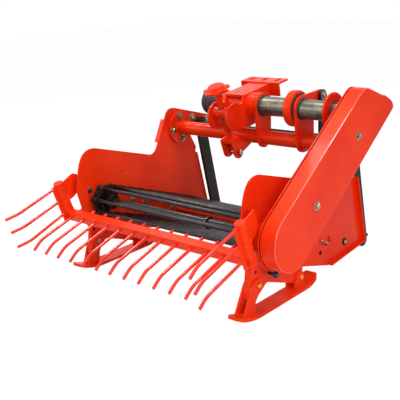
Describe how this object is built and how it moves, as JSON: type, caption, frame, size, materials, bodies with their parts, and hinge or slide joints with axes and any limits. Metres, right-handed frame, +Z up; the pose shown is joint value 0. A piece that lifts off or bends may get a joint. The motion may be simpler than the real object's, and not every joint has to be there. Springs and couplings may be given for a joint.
{
  "type": "potato harvester",
  "caption": "Small rear-mounted potato digger with a front blade, a rod web between two side panels, a chain case, a slotted hitch set by a depth screw and a rear tine rack",
  "frame": {"origin": "Middle of the machine's footprint, on the ground it stands on", "axes": "+Z up, +Y the way it is drawn forward, towards the hitch, +X its right-hand side, where the chain case is"},
  "size_m": [0.7508, 0.9218, 0.5176],
  "materials": {
    "red_paint": "glossy orange-red paint",
    "black_paint": "satin black paint",
    "dark_steel": "dark oiled steel",
    "zinc_plate": "zinc plated, slightly mottled",
    "black_rubber": "matt black rubber"
  },
  "bodies": {
    "frame": {"side_panel_left": "red_paint", "side_panel_right": "red_paint", "cross_tube_flange_left": "red_paint", "cross_tube_flange_right": "red_paint", "cross_tube": "red_paint", "hanger_plate_left": "red_paint", "hanger_plate_right": "red_paint", "drive_tube": "zinc_plate", "bearing_collar": "red_paint", "end_disc": "red_paint", "input_boot": "black_rubber", "chain_case": "red_paint", "rear_drive_shaft": "dark_steel", "rear_bearing_left": "red_paint", "rear_bearing_right": "red_paint", "front_idler": "dark_steel", "conveyor_web": "dark_steel", "blade_arm_left": "black_paint", "blade_arm_right": "black_paint", "blade_cross_rod": "black_paint", "digging_blade": "black_paint", "tine_rack": "red_paint", "tine_post_left": "red_paint", "tine_post_right": "red_paint", "post_bracket_left": "red_paint", "post_bracket_right": "red_paint", "skid_bracket_left": "red_paint", "skid_bracket_right": "red_paint", "skid_left": "red_paint", "skid_right": "red_paint", "stay_link": "black_paint", "clevis_pin": "zinc_plate", "screw_anchor_arm": "red_paint", "take_up_plate_left": "red_paint", "take_up_plate_right": "red_paint", "cross_tie": "red_paint"},
    "hitch": {"hitch_box": "red_paint", "hitch_flange": "red_paint"},
    "screw": {"screw_trunnion": "red_paint", "depth_screw": "zinc_plate", "handwheel": "red_paint"},
    "clevis": {"screw_clevis": "red_paint"},
    "shaft": {"drive_shaft": "zinc_plate"}
  },
  "joints": [
    {"name": "hitch_tilt", "type": "hinge", "parent": "frame", "child": "hitch", "pos_m": [-0.05156, 0.20185, 0.439], "axis": [1, 0, 0], "range_deg": [-8, 8]},
    {"name": "screw_swing", "type": "hinge", "parent": "hitch", "child": "screw", "pos_m": [-0.05156, 0.10785, 0.43], "axis": [1, 0, 0], "range_deg": [-7, 7]},
    {"name": "clevis_slide", "type": "slide", "parent": "screw", "child": "clevis", "axis": [0, -0.3094, 0.9509], "range_m": [-0.013, 0.013]},
    {"name": "drive_shaft_spin", "type": "hinge", "parent": "frame", "child": "shaft", "pos_m": [-0.02256, 0.20185, 0.439], "axis": [1, 0, 0], "continuous": true}
  ],
  "couplings": [
    {"joint": "screw_swing", "follows": "hitch_tilt", "ratio": -0.8474},
    {"joint": "clevis_slide", "follows": "hitch_tilt", "m_per_rad": 0.09206}
  ]
}
